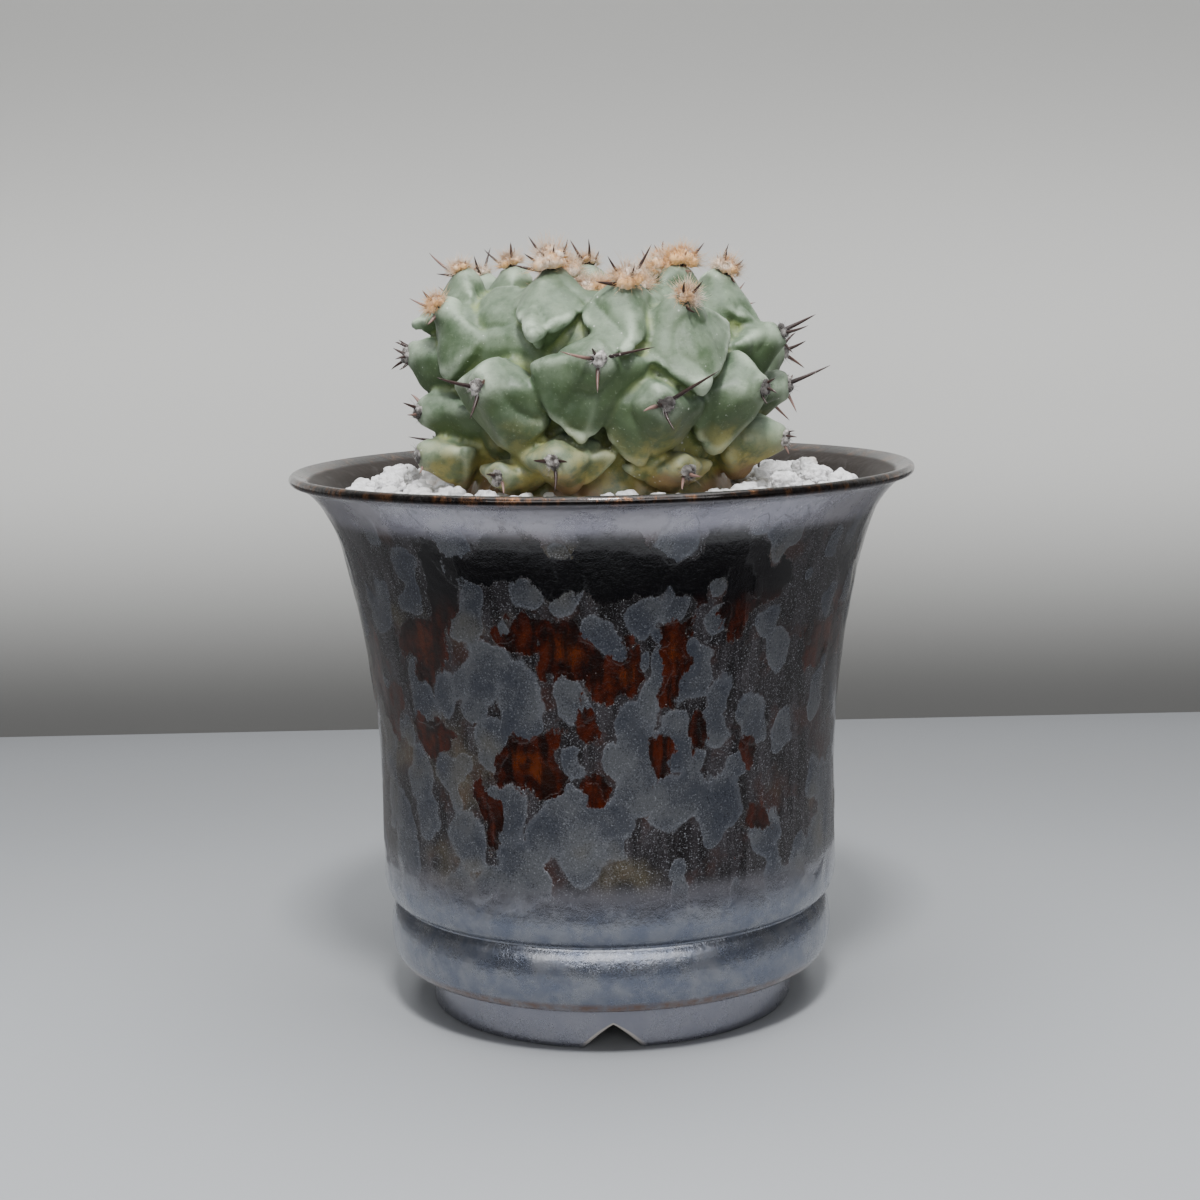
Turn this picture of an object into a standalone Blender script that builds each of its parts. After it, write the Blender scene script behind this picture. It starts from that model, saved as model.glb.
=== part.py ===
"""A round, tubercled cactus in a flared, glazed pot with a notched foot.

Metres, +Z up. The origin is on the ground, under the centre of the foot. The front
of the pot, where one foot notch shows, faces -Y.
"""
import math
import random

import bmesh
import bpy
from mathutils import Matrix, Vector, noise

MM = 0.001
GAP = 0.3 * MM              # between pieces that touch

# pot, as turned on the wheel
POT_HEIGHT = 105 * MM
RIM_RADIUS = 60 * MM
WAIST_RADIUS = 44.4 * MM    # the straight lower wall, outside
BELL_REACH = 9 * MM         # how far the long bell curve stands out at the top
BELL_DEPTH = 55 * MM        # and how far down it starts
LIP_BEND = 4.2 * MM         # how quickly the lip turns out
LIP_THICKNESS = 2.0 * MM
WALL = 4 * MM
FLOOR = 5 * MM
SHOULDER_DROP = 5 * MM      # rounded end of the wall above the groove
GROOVE_HEIGHT = 21.5 * MM
GROOVE_DEPTH = 2.6 * MM
BAND_REACH = 1.0 * MM       # the band stands this far inside the wall
BAND_BOTTOM = 9 * MM
FOOT_RADIUS = 35.5 * MM
FOOT_WIDTH = 6 * MM
FOOT_RECESS = 8 * MM
NOTCH_COUNT = 3
NOTCH_WIDTH = 11.5 * MM
NOTCH_HEIGHT = 4.5 * MM
DRAIN_RADIUS = 7 * MM
POT_SEGMENTS = 56

# what fills it
SCREEN_RADIUS = 11 * MM
SCREEN_THICKNESS = 0.8 * MM
SCREEN_SLOT = 1.6 * MM
SOIL_BELOW_RIM = 9.5 * MM
DRESSING_THICKNESS = 4 * MM
DRESSING_DIP = 1.0 * MM      # lower round the neck, so the lowest tubercles hang clear of it
FILL_SEGMENTS = 32
STONE_SIZE = 2.9 * MM       # half the width of a pumice stone
STONE_COUNT = 10

# plant
STEM_RADIUS = 38.7 * MM     # out to the areoles at the widest level
STEM_HEIGHT = 44.5 * MM     # from the dressing to the crown
NECK_RADIUS = 26 * MM
ROOT_DEPTH = 12 * MM
CORE_INSET = 10 * MM        # areoles stand this far out of the core
CROWN_RADIUS = 8 * MM
TUBERCLE_WIDTH = 21 * MM
TUBERCLE_HEIGHT = 18 * MM
TUBERCLE_SIDES = 9
AREOLE_RADIUS = 1.7 * MM
SPINE_LENGTH = 9 * MM
SPINE_WIDTH = 0.7 * MM
WOOL_HEIGHT = 5 * MM

# each tubercle: degrees round from +X, level (0 at the dressing, 1 at the crown),
# millimetres out from the even outline, and size against the usual one
FRONT_TUBERCLES = (
    (-160, 0.21, 0.0, 0.70), (-124, 0.14, 0.0, 0.72), (-104, 0.21, 0.0, 0.90),
    (-63, 0.15, 0.0, 0.80), (-22, 0.25, 0.0, 0.85), (-163, 0.39, -1.5, 0.95),
    (-124, 0.51, 0.0, 1.00), (-73, 0.43, 0.0, 1.00), (-40, 0.48, 0.0, 1.00),
    (-8, 0.46, -1.5, 0.80), (-171, 0.61, -0.5, 0.90), (-90, 0.62, 0.0, 1.05),
    (-158, 0.79, -1.0, 0.95), (-17, 0.66, -1.0, 0.90), (-62, 0.84, 0.0, 0.95),
    (-79, 0.91, 0.0, 0.75), (-176, 0.96, 4.5, 0.75), (-14, 0.94, 0.0, 0.75),
    (-30, 0.975, 0.0, 0.62), (-115, 0.975, 1.0, 0.80),
)
# behind and on the crown, rows of evenly spaced ones: level, first and last degrees, how many, size
BACK_ROWS = (
    (0.20, 32, 152, 4, 0.90),
    (0.40, 30, 146, 4, 1.00),
    (0.60, 20, 162, 5, 0.95),
    (0.78, 38, 142, 4, 0.90),
    (0.92, 24, 150, 4, 0.72),
    (0.99, 28, 172, 3, 0.50),
)


def polar(radius, degrees, z):
    angle = math.radians(degrees)
    return Vector((radius * math.cos(angle), radius * math.sin(angle), z))


def ellipse(centre_r, centre_z, size_r, size_z, start, end, steps):
    """Profile points on part of an ellipse, from start to end degrees."""
    points = []
    for step in range(steps + 1):
        angle = math.radians(start + (end - start) * step / steps)
        points.append((centre_r + size_r * math.cos(angle), centre_z + size_z * math.sin(angle)))
    return points


# ---------------------------------------------------------------- materials
def material(name, colour, roughness, metallic=0.0):
    made = bpy.data.materials.new(name)
    made.use_nodes = True
    shader = made.node_tree.nodes["Principled BSDF"]
    shader.inputs["Base Color"].default_value = (*colour, 1.0)
    shader.inputs["Roughness"].default_value = roughness
    shader.inputs["Metallic"].default_value = metallic
    return made


# ---------------------------------------------------------------- mesh helpers
def add_object(name, mesh, finish, smooth_angle=35):
    mesh.materials.clear()
    mesh.materials.append(finish)
    mesh.shade_smooth()
    mesh.set_sharp_from_angle(angle=math.radians(smooth_angle))
    thing = bpy.data.objects.new(name, mesh)
    bpy.context.scene.collection.objects.link(thing)
    return thing


def mesh_from(bm, name):
    bmesh.ops.recalc_face_normals(bm, faces=bm.faces)
    mesh = bpy.data.meshes.new(name)
    bm.to_mesh(mesh)
    bm.free()
    return mesh


def turned(name, profile, segments):
    """Spins a closed profile of (radius, height) points; points on the axis are shared."""
    bm = bmesh.new()
    rings = []
    for radius, height in profile:
        if radius < 1e-6:
            rings.append([bm.verts.new((0, 0, height))] * segments)
        else:
            rings.append([bm.verts.new(polar(radius, 360 * i / segments, height))
                          for i in range(segments)])
    on_axis = profile[0][0] < 1e-6 and profile[-1][0] < 1e-6
    pairs = list(zip(rings, rings[1:]))
    if not on_axis:
        pairs.append((rings[-1], rings[0]))
    for ring, following in pairs:
        for i in range(segments):
            j = (i + 1) % segments
            corners = []
            for vert in (ring[i], ring[j], following[j], following[i]):
                if vert not in corners:
                    corners.append(vert)
            bm.faces.new(corners)
    return mesh_from(bm, name)


def cut(thing, cutter_mesh, operation="DIFFERENCE", self_crossing=False):
    """Applies one exact Boolean, so that nothing but the result is left."""
    cutter = bpy.data.objects.new(cutter_mesh.name, cutter_mesh)
    cutter.hide_render = True
    cutter.display_type = "WIRE"
    bpy.context.scene.collection.objects.link(cutter)
    modifier = thing.modifiers.new("cut", "BOOLEAN")
    modifier.operation = operation
    modifier.solver = "EXACT"
    modifier.use_self = self_crossing
    modifier.object = cutter
    graph = bpy.context.evaluated_depsgraph_get()
    result = bpy.data.meshes.new_from_object(thing.evaluated_get(graph), depsgraph=graph)
    thing.modifiers.remove(modifier)
    thing.data = result
    bpy.data.objects.remove(cutter)


def box_mesh(name, width, depth, height):
    bm = bmesh.new()
    bmesh.ops.create_cube(bm, size=1.0, matrix=Matrix.Diagonal((width, depth, height, 1)))
    return mesh_from(bm, name)


# ---------------------------------------------------------------- pot shape
def outside_radius(z):
    """The wall's outer radius, from the top of the shoulder up to the lip."""
    down = POT_HEIGHT - LIP_THICKNESS / 2 - z
    bell = BELL_REACH * max(0.0, 1 - max(down, 0) / BELL_DEPTH) ** 1.6
    lip_reach = RIM_RADIUS - WAIST_RADIUS - BELL_REACH
    return WAIST_RADIUS + bell + lip_reach * math.exp(-max(down, 0) / LIP_BEND)


def inside_radius(z):
    """The inner wall, thinning from WALL to the lip's thickness near the top."""
    down = POT_HEIGHT - z
    wall = WALL - (WALL - LIP_THICKNESS) * math.exp(-down / (4 * LIP_BEND))
    slope = (outside_radius(z + MM / 2) - outside_radius(z - MM / 2)) / MM
    return outside_radius(z) - wall * math.sqrt(1 + slope * slope)


FLOOR_TOP = FOOT_RECESS + FLOOR
SHOULDER_TOP = GROOVE_HEIGHT + SHOULDER_DROP
LIP_START = LIP_THICKNESS * 1.2
# heights that the wall's rows lie at, closer together toward the lip
WALL_LEVELS = [POT_HEIGHT - LIP_START * 1.42 ** i for i in range(10)]


def pot_profile():
    groove_radius = WAIST_RADIUS - GROOVE_DEPTH
    band_radius = WAIST_RADIUS - BAND_REACH
    band_middle = (GROOVE_HEIGHT + BAND_BOTTOM) / 2
    band_half = (GROOVE_HEIGHT - BAND_BOTTOM) / 2
    lip = LIP_THICKNESS / 2
    profile = ellipse(RIM_RADIUS - lip, POT_HEIGHT - lip, lip, lip, 100, -60, 4)
    for z in WALL_LEVELS:
        if z > SHOULDER_TOP + 6 * MM:
            profile.append((outside_radius(z), z))
    profile += ellipse(groove_radius, SHOULDER_TOP, WAIST_RADIUS - groove_radius,
                       SHOULDER_DROP, 0, -90, 4)
    profile += ellipse(groove_radius - MM, band_middle, band_radius - groove_radius + MM,
                       band_half, 65, -78, 6)
    profile += [(FOOT_RADIUS + MM, BAND_BOTTOM - 0.4 * MM), (FOOT_RADIUS, BAND_BOTTOM - 2 * MM)]
    profile += ellipse(FOOT_RADIUS - MM, MM, MM, MM, 0, -90, 2)
    inner_foot = FOOT_RADIUS - FOOT_WIDTH
    profile += [(inner_foot + 0.5 * MM, 0), (inner_foot, 0.5 * MM), (inner_foot, FOOT_RECESS)]
    profile += [(DRAIN_RADIUS, FOOT_RECESS), (DRAIN_RADIUS, FLOOR_TOP)]
    corner = 6 * MM
    wall_foot = inside_radius(FLOOR_TOP + corner)
    profile += ellipse(wall_foot - corner, FLOOR_TOP + corner, corner, corner, -90, 0, 3)
    for z in reversed(WALL_LEVELS):
        if z > FLOOR_TOP + corner + 4 * MM:
            profile.append((inside_radius(z), z))
    return profile


def make_pot(finish):
    pot = add_object("pot", turned("pot", pot_profile(), POT_SEGMENTS), finish)
    for number in range(NOTCH_COUNT):
        bm = bmesh.new()
        half = NOTCH_WIDTH / 2
        shape = [(-half, -MM), (half, -MM), (half, 0), (0.30 * half, 0.80 * NOTCH_HEIGHT),
                 (0, NOTCH_HEIGHT), (-0.30 * half, 0.80 * NOTCH_HEIGHT), (-half, 0)]
        near = [bm.verts.new((FOOT_RADIUS - FOOT_WIDTH - 3 * MM, y, z)) for y, z in shape]
        far = [bm.verts.new((FOOT_RADIUS + 3 * MM, y, z)) for y, z in shape]
        bm.faces.new(near)
        bm.faces.new(far[::-1])
        for i in range(len(shape)):
            j = (i + 1) % len(shape)
            bm.faces.new((near[j], near[i], far[i], far[j]))
        turn = Matrix.Rotation(math.radians(-90 + 360 * number / NOTCH_COUNT), 4, "Z")
        bmesh.ops.transform(bm, matrix=turn, verts=bm.verts)
        cut(pot, mesh_from(bm, "notch"))
    return pot


# ---------------------------------------------------------------- filling
SOIL_TOP = POT_HEIGHT - SOIL_BELOW_RIM
DRESSING_TOP = SOIL_TOP + GAP + DRESSING_THICKNESS
SCREEN_TOP = FLOOR_TOP + GAP + SCREEN_THICKNESS


def make_screen(finish):
    profile = [(0, FLOOR_TOP + GAP), (SCREEN_RADIUS, FLOOR_TOP + GAP),
               (SCREEN_RADIUS, SCREEN_TOP), (0, SCREEN_TOP)]
    screen = add_object("drain_screen", turned("drain_screen", profile, 24), finish)
    pitch = 2 * SCREEN_SLOT
    for number in range(-1, 2):
        length = 1.5 * DRAIN_RADIUS - abs(number) * pitch / 2
        slot = box_mesh("slot", SCREEN_SLOT, length, 4 * SCREEN_THICKNESS)
        slot.transform(Matrix.Translation((number * pitch, 0, SCREEN_TOP)))
        cut(screen, slot)
    return screen


def root_profile(grow):
    """The buried foot of the stem, or the hollow it sits in when grow is a gap."""
    top = DRESSING_TOP + 0.5 * MM
    depth = SOIL_TOP - ROOT_DEPTH
    return [(0.42 * NECK_RADIUS + grow, depth - grow),
            (0.80 * NECK_RADIUS + grow, depth + 0.35 * ROOT_DEPTH - grow),
            (NECK_RADIUS + grow, SOIL_TOP - grow), (NECK_RADIUS + grow, top)]


def make_soil(finish):
    lowest = FLOOR_TOP + GAP
    over_screen = SCREEN_TOP + GAP
    pocket = root_profile(GAP)
    corner = 6 * MM
    side = [lowest + corner]
    side += [z for z in reversed(WALL_LEVELS) if side[0] + corner < z < SOIL_TOP - MM] + [SOIL_TOP]
    profile = [(0, over_screen), (SCREEN_RADIUS + GAP, over_screen), (SCREEN_RADIUS + GAP, lowest)]
    wall_foot = inside_radius(FLOOR_TOP + corner) - GAP
    profile += ellipse(wall_foot - corner, lowest + corner, corner, corner, -90, -18, 3)
    profile += [(inside_radius(z) - 2 * GAP, z) for z in side]
    profile += [(pocket[2][0], SOIL_TOP), pocket[1], pocket[0], (0, pocket[0][1])]
    return add_object("soil", turned("soil", profile, FILL_SEGMENTS), finish)


def make_dressing(finish):
    """A bumpy layer of fine pumice round the neck of the plant."""
    lowest = SOIL_TOP + GAP
    inner = NECK_RADIUS + GAP
    outer_low = inside_radius(lowest) - 3 * GAP
    outer_high = inside_radius(DRESSING_TOP - MM) - 3 * GAP
    profile = [(inner, lowest), (outer_low, lowest), (outer_high, DRESSING_TOP - MM)]
    top_steps = 5
    for step in range(top_steps + 1):
        share = step / top_steps
        radius = outer_high + (inner + GAP - outer_high) * share - GAP
        profile.append((radius, DRESSING_TOP - 0.5 * MM - DRESSING_DIP * share ** 2))
    layer = add_object("pumice_dressing", turned("pumice_dressing", profile, FILL_SEGMENTS), finish)
    for vert in layer.data.vertices:
        if vert.co.z > DRESSING_TOP - 0.6 * MM - DRESSING_DIP:
            vert.co.z += 0.45 * MM * noise.noise(vert.co * 260)
    return layer


def make_stones(finish):
    """Larger pumice stones lying on the dressing, mostly left and right of the plant."""
    picker = random.Random(11)
    stones = []
    bearings = (-178, -169, 172, 162, -34, -10, -1, 10, 52, 93)
    for number in range(STONE_COUNT):
        size = STONE_SIZE * picker.uniform(0.88, 1.12)
        bm = bmesh.new()
        bmesh.ops.create_icosphere(bm, subdivisions=2, radius=size)
        shift = Vector((number * 3.1, 1.7, 0.4))
        for vert in bm.verts:
            vert.co *= 1 + 0.28 * noise.noise(vert.co.normalized() * 1.6 + shift)
            vert.co.z *= 0.8
        lowest = min(vert.co.z for vert in bm.verts)
        place = polar(STONE_RING, bearings[number], STONE_FLOOR - lowest)
        stone = add_object(f"pumice_stone_{number + 1:02d}", mesh_from(bm, "pumice_stone"), finish)
        stone.location = place
        stones.append(stone)
    return stones


# ---------------------------------------------------------------- plant
STEM_BASE = DRESSING_TOP
STONE_FLOOR = DRESSING_TOP + GAP
STONE_RING = (NECK_RADIUS + inside_radius(DRESSING_TOP)) / 2 + 2.2 * MM


def outline_radius(level):
    """Radius of the areoles at a level, widest a little above half way."""
    widest = 0.54
    span = 1.001 - widest if level > widest else widest + 0.08
    share = min(1.0, abs(level - widest) / span)
    return STEM_RADIUS * (1 - share ** 2.6) ** (1 / 2.6)


def outline_slope(level):
    """How steeply a tubercle at a level points up, in degrees."""
    step = 0.02
    rise = 2 * step * STEM_HEIGHT
    run = outline_radius(min(1, level + step)) - outline_radius(level - step)
    return max(-8.0, min(80.0, 0.85 * math.degrees(math.atan2(-run, rise)) + 4))


def all_tubercles():
    """Yields each tubercle's tip, outward direction and size, front ones first."""
    rows = [(degrees, level, reach * MM, size) for degrees, level, reach, size in FRONT_TUBERCLES]
    picker = random.Random(5)
    for level, first, last, count, size in BACK_ROWS:
        for number in range(count):
            degrees = first + (last - first) * number / (count - 1) + picker.uniform(-4, 4)
            rows.append((degrees, level + picker.uniform(-0.015, 0.015), 0.0, size))
    for degrees, level, reach, size in rows:
        tip = polar(outline_radius(level) + reach, degrees, STEM_BASE + level * STEM_HEIGHT)
        tilt = outline_slope(level)
        out = polar(math.cos(math.radians(tilt)), degrees, math.sin(math.radians(tilt)))
        yield tip, out, size


def tubercle_rings(tip, out, size):
    """Cross-sections of one tubercle, from its flat areole seat in to its root.

    Each is a rounded diamond that hangs lower below the areole than it rises above it.
    """
    side = Vector((0, 0, 1)).cross(out).normalized()
    up = out.cross(side)
    flat = AREOLE_RADIUS + 0.5 * MM
    depths = (0.0, 0.9, 3.0, 6.5, 11.0, 17.0)
    spread = (0.0, 0.22, 0.52, 0.82, 1.0, 0.85)
    rings = []
    for depth, share in zip(depths, spread):
        half_width = flat + share * (TUBERCLE_WIDTH * size / 2 - flat)
        above = flat + share * (0.36 * TUBERCLE_HEIGHT * size - flat)
        below = flat + share * (0.64 * TUBERCLE_HEIGHT * size - flat)
        ring = []
        for i in range(TUBERCLE_SIDES):
            angle = 2 * math.pi * i / TUBERCLE_SIDES
            across = math.copysign(abs(math.cos(angle)) ** 1.15, math.cos(angle)) * half_width
            height = math.copysign(abs(math.sin(angle)) ** 1.15, math.sin(angle))
            height *= above if height > 0 else below
            ring.append(tip - out * depth * MM * size + side * across + up * height)
        rings.append(ring)
    return rings


def add_tubercle(bm, tip, out, size):
    rings = [[bm.verts.new(point) for point in ring] for ring in tubercle_rings(tip, out, size)]
    bm.faces.new(rings[0])
    bm.faces.new(rings[-1][::-1])
    for ring, following in zip(rings, rings[1:]):
        for i in range(TUBERCLE_SIDES):
            j = (i + 1) % TUBERCLE_SIDES
            bm.faces.new((ring[j], ring[i], following[i], following[j]))


def make_stem(finish):
    bm = bmesh.new()
    for tip, out, size in all_tubercles():
        add_tubercle(bm, tip, out, size)
    stem = add_object("cactus_stem", mesh_from(bm, "tubercles"), finish, 50)
    core = root_profile(0)
    core.insert(0, (0, core[0][1]))
    for step in range(1, 9):
        level = 0.10 + 0.80 * step / 8
        core.append((outline_radius(level) - CORE_INSET, STEM_BASE + level * STEM_HEIGHT))
    crown = STEM_BASE + 0.90 * STEM_HEIGHT
    core += [(CROWN_RADIUS, crown), (0, crown)]
    cut(stem, turned("core", core, 32), "UNION", self_crossing=True)
    return stem


def make_wool(finish):
    """The woolly tuft that fills the crown."""
    bm = bmesh.new()
    bmesh.ops.create_uvsphere(bm, u_segments=14, v_segments=8, radius=1.0)
    bottom = STEM_BASE + 0.90 * STEM_HEIGHT + GAP
    for vert in bm.verts:
        lump = 1 + 0.18 * noise.noise(vert.co * 2.3)
        x, y, z = vert.co * lump
        height = max(0.0, z) * WOOL_HEIGHT
        vert.co = (x * (CROWN_RADIUS - 3 * MM), y * (CROWN_RADIUS - 3 * MM), bottom + height)
    for vert in bm.verts:
        if vert.co.z <= bottom:
            vert.co.z = bottom
    bmesh.ops.dissolve_degenerate(bm, dist=0.01 * MM, edges=bm.edges)
    return add_object("crown_wool", mesh_from(bm, "crown_wool"), finish, 60)


def make_areole(number, tip, out, size, finish):
    """A felted pad on a tubercle's seat, with its spines drawn out of the pad's faces."""
    sides = 7
    heights = ((1.0, 0.0), (0.92, 0.45), (0.5, 0.85))
    side = Vector((0, 0, 1)).cross(out).normalized()
    up = out.cross(side)
    bm = bmesh.new()
    rings = []
    for share, rise in heights:
        ring = []
        for i in range(sides):
            angle = 2 * math.pi * (i + 0.5) / sides + math.pi / 2
            offset = side * math.cos(angle) + up * math.sin(angle)
            ring.append(bm.verts.new(offset * AREOLE_RADIUS * share + out * rise * AREOLE_RADIUS))
        rings.append(ring)
    bm.faces.new(rings[0])
    bm.faces.new(rings[-1][::-1])
    for ring, following in zip(rings, rings[1:]):
        for i in range(sides):
            j = (i + 1) % sides
            bm.faces.new((ring[j], ring[i], following[i], following[j]))
    bmesh.ops.recalc_face_normals(bm, faces=bm.faces)
    bm.faces.ensure_lookup_table()
    picker = random.Random(100 + number)
    reach = SPINE_LENGTH * (0.55 + 0.45 * size)
    wanted = [out * 0.9 - up * 0.45 + side * picker.uniform(-0.2, 0.2),
              out * 0.8 + up * 0.3 + side * 0.75, out * 0.8 + up * 0.3 - side * 0.75]
    if number % 3 == 0:
        wanted.append(out * 0.85 + up * 0.75)
    for direction in wanted:
        direction = direction.normalized()
        upper = [face for face in bm.faces if len(face.verts) == 4
                 and (face.calc_center_median().dot(out)) > 0.5 * AREOLE_RADIUS]
        face = max(upper, key=lambda f: f.normal.dot(direction))
        width = min(edge.calc_length() for edge in face.edges)
        bmesh.ops.inset_individual(bm, faces=[face], thickness=max(0.05 * MM, (width - SPINE_WIDTH) / 2))
        root = face.calc_center_median()
        poked = bmesh.ops.poke(bm, faces=[face])
        length = reach * picker.uniform(0.75, 1.0)
        poked["verts"][0].co = root + direction * length
    bmesh.ops.triangulate(bm, faces=[face for face in bm.faces if len(face.verts) > 3])
    areole = add_object(f"areole_{number + 1:02d}", mesh_from(bm, "areole"), finish, 60)
    areole.location = tip + out * GAP
    return areole


def main():
    for thing in list(bpy.data.objects):
        bpy.data.objects.remove(thing)
    make_pot(material("glaze", (0.055, 0.055, 0.065), 0.25, 0.35))
    make_screen(material("black_plastic", (0.03, 0.03, 0.03), 0.6))
    make_soil(material("gritty_soil", (0.12, 0.085, 0.06), 0.95))
    pumice = material("white_pumice", (0.82, 0.81, 0.79), 0.9)
    make_dressing(pumice)
    make_stones(pumice)
    make_stem(material("bloomed_skin", (0.20, 0.31, 0.22), 0.55))
    make_wool(material("cream_wool", (0.80, 0.66, 0.47), 0.95))
    spines = material("dark_spines", (0.11, 0.06, 0.05), 0.5)
    for number, (tip, out, size) in enumerate(all_tubercles()):
        make_areole(number, tip, out, size, spines)


main()
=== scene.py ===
import math
import random

import bmesh
import bpy
import numpy as np
from mathutils import Matrix, Vector, noise


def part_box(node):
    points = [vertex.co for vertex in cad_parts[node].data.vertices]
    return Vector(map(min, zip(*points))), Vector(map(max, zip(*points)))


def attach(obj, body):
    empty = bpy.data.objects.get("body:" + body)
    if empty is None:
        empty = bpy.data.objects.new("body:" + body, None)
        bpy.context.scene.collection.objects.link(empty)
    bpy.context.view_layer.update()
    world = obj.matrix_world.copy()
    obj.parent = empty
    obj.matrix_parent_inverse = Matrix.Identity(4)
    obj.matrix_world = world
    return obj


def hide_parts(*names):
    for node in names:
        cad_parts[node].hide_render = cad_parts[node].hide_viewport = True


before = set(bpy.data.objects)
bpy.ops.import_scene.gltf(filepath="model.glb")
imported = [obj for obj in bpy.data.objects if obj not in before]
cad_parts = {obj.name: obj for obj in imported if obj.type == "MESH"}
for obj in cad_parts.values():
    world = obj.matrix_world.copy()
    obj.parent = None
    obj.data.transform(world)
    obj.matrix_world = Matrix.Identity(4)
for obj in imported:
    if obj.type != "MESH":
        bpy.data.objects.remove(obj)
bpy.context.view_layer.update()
mm = 0.001


# ---- camera, floor and light

camera = {
    "distance": 0.4246,      # from the pot's axis
    "height": 0.1425,
    "lookDown": 8.57,        # degrees
    "roll": 1.21,
    "lens": 66.0,
    "shift": -0.0036,
}

studio = {
    "floorColor": (0.42, 0.435, 0.455),
    "wallColor": (0.72, 0.715, 0.69),
    "wallBehind": 0.257,
    "roomReach": 3.0,
    "skyStrength": 0.13,
    # name, place, width, height and power
    "lights": [("key", (0.01, -0.47, 0.82), 0.12, 0.12, 7.4),
               ("topFill", (0.0, -0.05, 0.95), 0.9, 0.9, 9.8),
               ("frontPanel", (0.0, -0.85, 0.48), 1.5, 0.3, 7.0),
               ("lowFront", (0.0, -0.75, 0.22), 0.5, 0.5, 1.7),
               ("backLeft", (-0.55, 0.60, 0.55), 0.5, 0.5, 1.6),
               ("backRight", (0.55, 0.60, 0.55), 0.5, 0.5, 1.6)],
    # dark and grey cards that only reflections see: degrees from the front, then shade
    "cards": [("blackCard", -62, 62, 0.004), ("greyCardLeft", -150, -62.5, 0.10),
              ("greyCardRight", 62.5, 150, 0.10)],
    "cardSteps": 24,
    "cardProfile": [(0.125, 0.002), (0.30, 0.002), (0.31, 0.03), (0.31, 0.09)],
}


def newMesh(name, verts, faces, finish=None, smooth=True):
    mesh = bpy.data.meshes.new(name)
    mesh.from_pydata([tuple(v) for v in verts], [], [tuple(f) for f in faces])
    mesh.update()
    if smooth:
        mesh.shade_smooth()
    if finish:
        mesh.materials.append(finish)
    piece = bpy.data.objects.new(name, mesh)
    bpy.context.scene.collection.objects.link(piece)
    return piece


def storeValues(mesh, fields):
    for name, values in fields.items():
        layer = mesh.attributes.new(name, "FLOAT", "POINT")
        layer.data.foreach_set("value", np.asarray(values, dtype=np.float32))


def readRows(items, name, width, kind=float):
    values = np.empty(len(items) * width, dtype=kind)
    items.foreach_get(name, values)
    return values.reshape(-1, width)


def wrapRings(faces, base, rows, sides, turned=False):
    # a cap at each end and quads between the rings of points that start at base
    last = base + (rows - 1) * sides
    made = [[base + i for i in reversed(range(sides))], [last + i for i in range(sides)]]
    for row in range(rows - 1):
        start = base + row * sides
        for i in range(sides):
            j = (i + 1) % sides
            made.append([start + i, start + j, start + sides + j, start + sides + i])
    faces.extend([face[::-1] for face in made] if turned else made)


def drift(p):
    # three steady noise values as a vector, the same in every run
    return Vector((noise.noise(p), noise.noise(p + Vector((31.4, 7.7, 11.1))),
                   noise.noise(p + Vector((5.3, 47.2, 23.9)))))


def makeCamera():
    data = bpy.data.cameras.new("camera")
    data.lens = camera["lens"]
    data.sensor_width = 36
    data.shift_x = camera["shift"]
    data.clip_start = 0.01
    cam = bpy.data.objects.new("camera", data)
    tilt = Matrix.Rotation(math.radians(90 - camera["lookDown"]), 4, "X")
    roll = Matrix.Rotation(math.radians(-camera["roll"]), 4, "Z")
    place = Matrix.Translation((0, -camera["distance"], camera["height"]))
    cam.matrix_world = place @ tilt @ roll
    bpy.context.scene.collection.objects.link(cam)
    bpy.context.scene.camera = cam


def add(tree, kind, inputs=None, **settings):
    made = tree.nodes.new(kind)
    for key, value in settings.items():
        setattr(made, key, value)
    for key, value in (inputs or {}).items():
        if isinstance(value, bpy.types.NodeSocket):
            tree.links.new(value, made.inputs[key])
        else:
            made.inputs[key].default_value = value
    return made


def startMaterial(name, roughness=0.5, **sockets):
    made = bpy.data.materials.new(name)
    made.use_nodes = True
    tree = made.node_tree
    shader = tree.nodes["Principled BSDF"]
    shader.inputs["Roughness"].default_value = roughness
    for key, value in sockets.items():
        shader.inputs[key.replace("_", " ")].default_value = value
    return made, tree, shader, add(tree, "ShaderNodeTexCoord").outputs["Object"]


def mathNode(tree, operation, a, b=0.0, clamp=False):
    made = add(tree, "ShaderNodeMath", {0: a, 1: b}, operation=operation, use_clamp=clamp)
    return made.outputs[0]


def partOf(tree, vector, axis):
    return add(tree, "ShaderNodeSeparateXYZ", {0: vector}).outputs[axis]


def plus(tree, a, b, clamp=False):
    return mathNode(tree, "ADD", a, b, clamp)


def minus(tree, a, b):
    return mathNode(tree, "SUBTRACT", a, b)


def times(tree, a, b, clamp=False):
    return mathNode(tree, "MULTIPLY", a, b, clamp)


def larger(tree, a, b):
    return mathNode(tree, "MAXIMUM", a, b)


def remap(tree, value, low, high, toLow=0.0, toHigh=1.0):
    made = add(tree, "ShaderNodeMapRange", {"Value": value, "From Min": low, "From Max": high,
                                            "To Min": toLow, "To Max": toHigh})
    made.interpolation_type = "SMOOTHSTEP"
    return made.outputs[0]


def mixColor(tree, share, a, b):
    made = add(tree, "ShaderNodeMix", data_type="RGBA")
    for socket, value in zip((made.inputs[0], made.inputs[6], made.inputs[7]), (share, a, b)):
        if isinstance(value, bpy.types.NodeSocket):
            tree.links.new(value, socket)
        elif isinstance(value, tuple):
            socket.default_value = (*value, 1.0)
        else:
            socket.default_value = value
    return made.outputs[2]


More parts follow.
